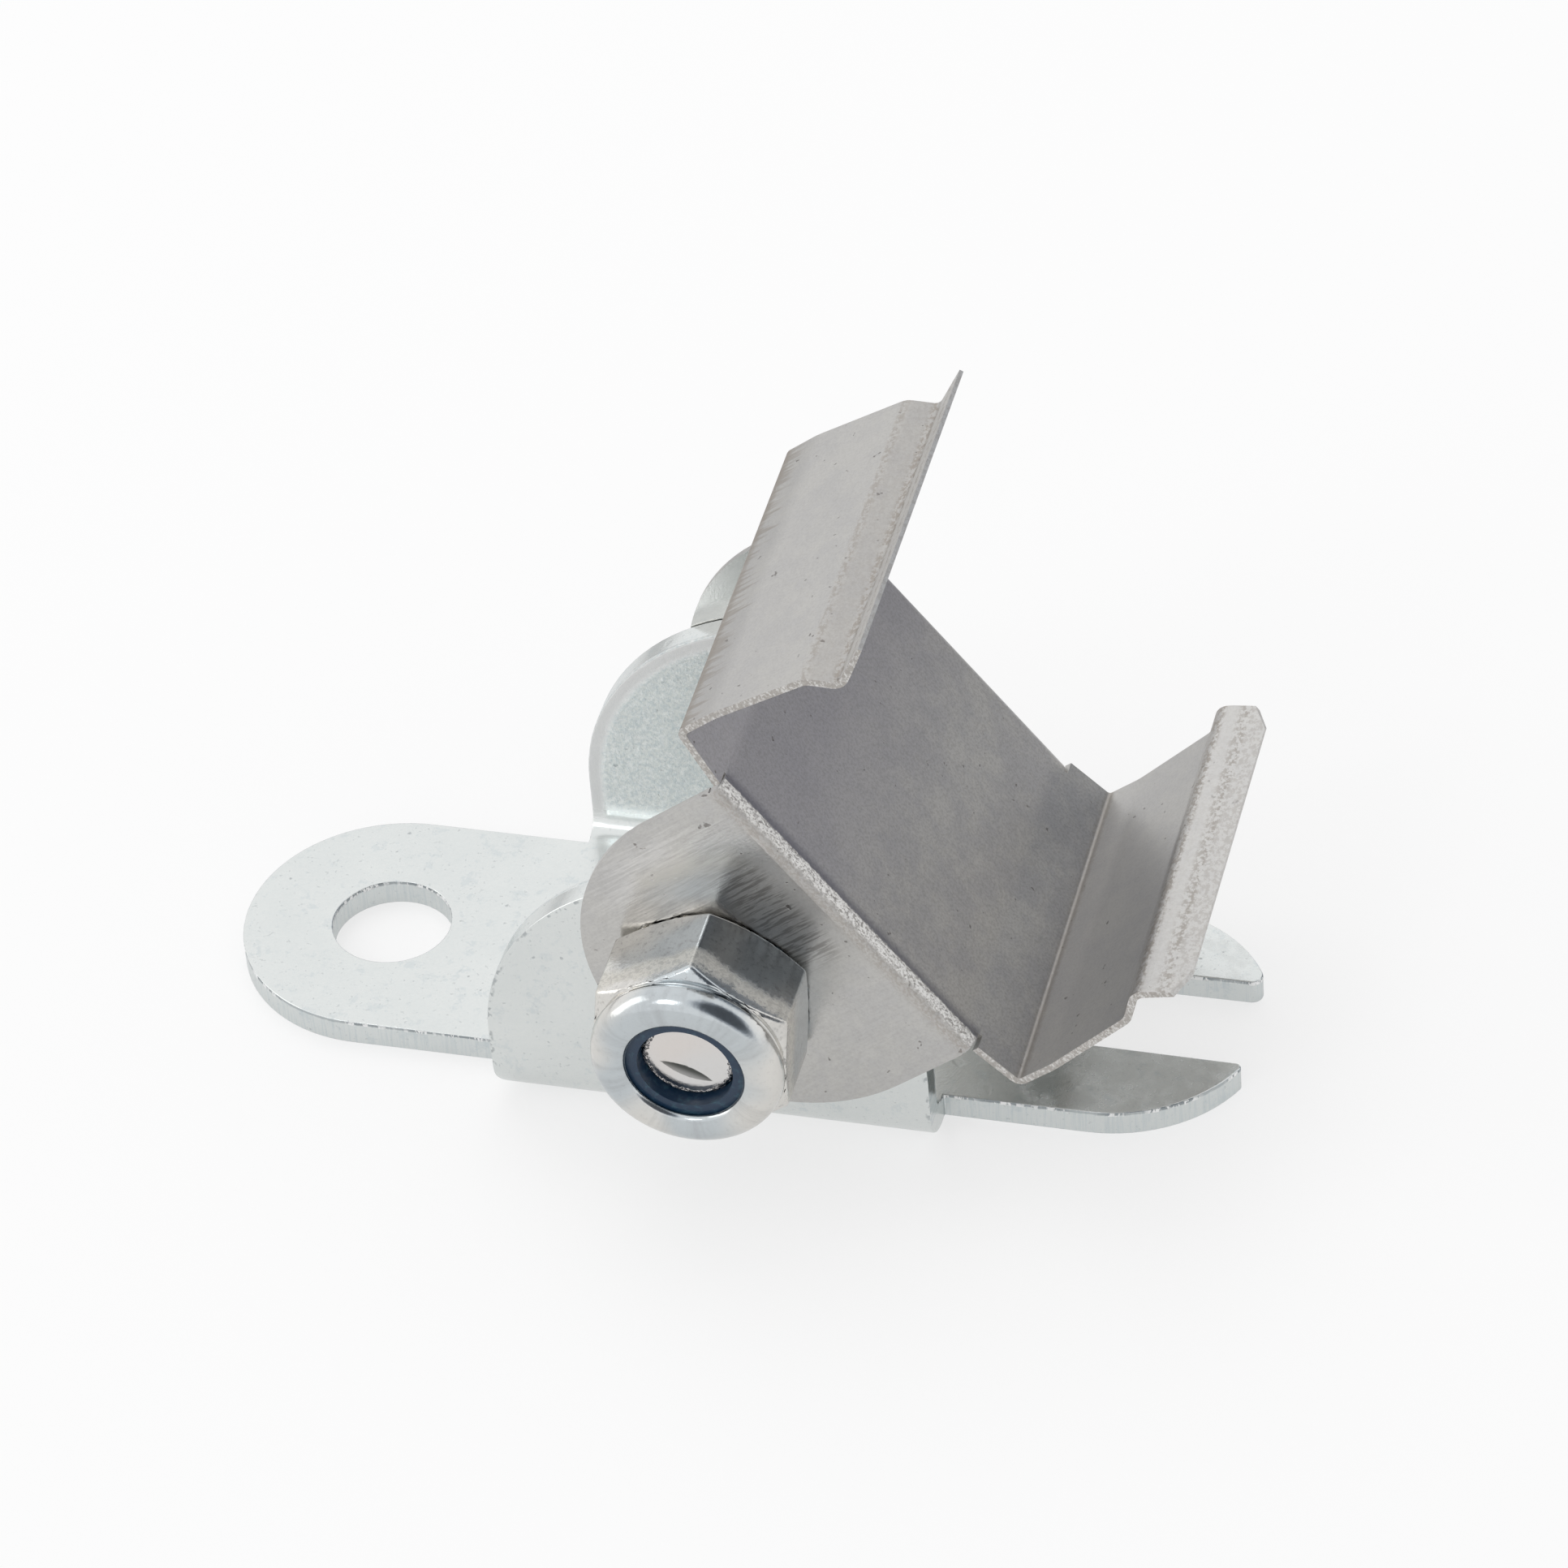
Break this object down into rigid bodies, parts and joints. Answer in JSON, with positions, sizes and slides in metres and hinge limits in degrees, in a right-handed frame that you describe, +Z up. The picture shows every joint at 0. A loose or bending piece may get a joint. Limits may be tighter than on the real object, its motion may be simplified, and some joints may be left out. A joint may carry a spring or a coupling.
{
  "type": "bracket with tilting spring clip",
  "caption": "Folded sheet bracket with a fixing hole and an open fork slot, carrying a sprung sheet clip that tilts on a bolt between two raised wings.",
  "frame": {"origin": "on the strip's underside, straight below the bolt's axis and midway between the wings", "axes": "+X along the strip towards its fork, +Y along the bolt towards its head, +Z up from the surface that the strip is fixed to"},
  "size_m": [0.0548, 0.0332, 0.0339],
  "materials": {
    "zinc_sheet": "bright zinc plating on pressed sheet",
    "stainless_sheet": "mill-finish spring stainless",
    "zinc_bolt": "bright zinc plating",
    "zinc_nut": "glossy zinc plating",
    "nylon": "dark blue nylon"
  },
  "bodies": {
    "bracket": {"base_bracket": "zinc_sheet", "bolt": "zinc_bolt", "lock_nut": "zinc_nut", "nylon_insert": "nylon"},
    "clip": {"spring_clip": "stainless_sheet"}
  },
  "joints": [
    {"name": "clip_tilt", "type": "hinge", "parent": "bracket", "child": "clip", "pos_m": [0, 0, 0.01015], "axis": [0, 1, 0], "range_deg": [-95, 13]}
  ]
}
